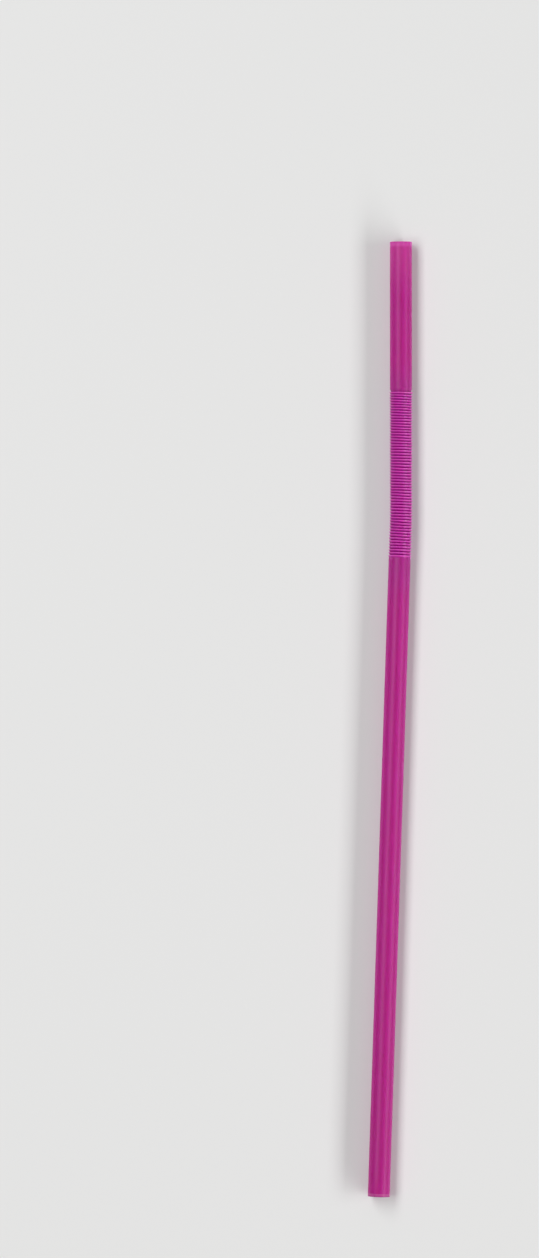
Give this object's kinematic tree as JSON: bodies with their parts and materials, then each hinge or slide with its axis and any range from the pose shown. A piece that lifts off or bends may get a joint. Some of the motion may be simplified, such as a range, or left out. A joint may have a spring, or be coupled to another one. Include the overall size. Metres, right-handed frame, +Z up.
{
  "type": "plastic drinking straw",
  "caption": "Bendy plastic drinking straw: a thin open tube with a long folded bellows in its wall near the mouth end.",
  "frame": {"origin": "on the surface the straw lies on, halfway between its two ends", "axes": "+Y along the stem towards the bellows and the mouth end, +X to the side the straw bends away from, +Z up"},
  "size_m": [0.0086, 0.2601, 0.0063],
  "materials": {
    "straw_plastic": "translucent magenta polypropylene with a soft gloss"
  },
  "bodies": {
    "root": {"straw": "straw_plastic"}
  },
  "joints": []
}
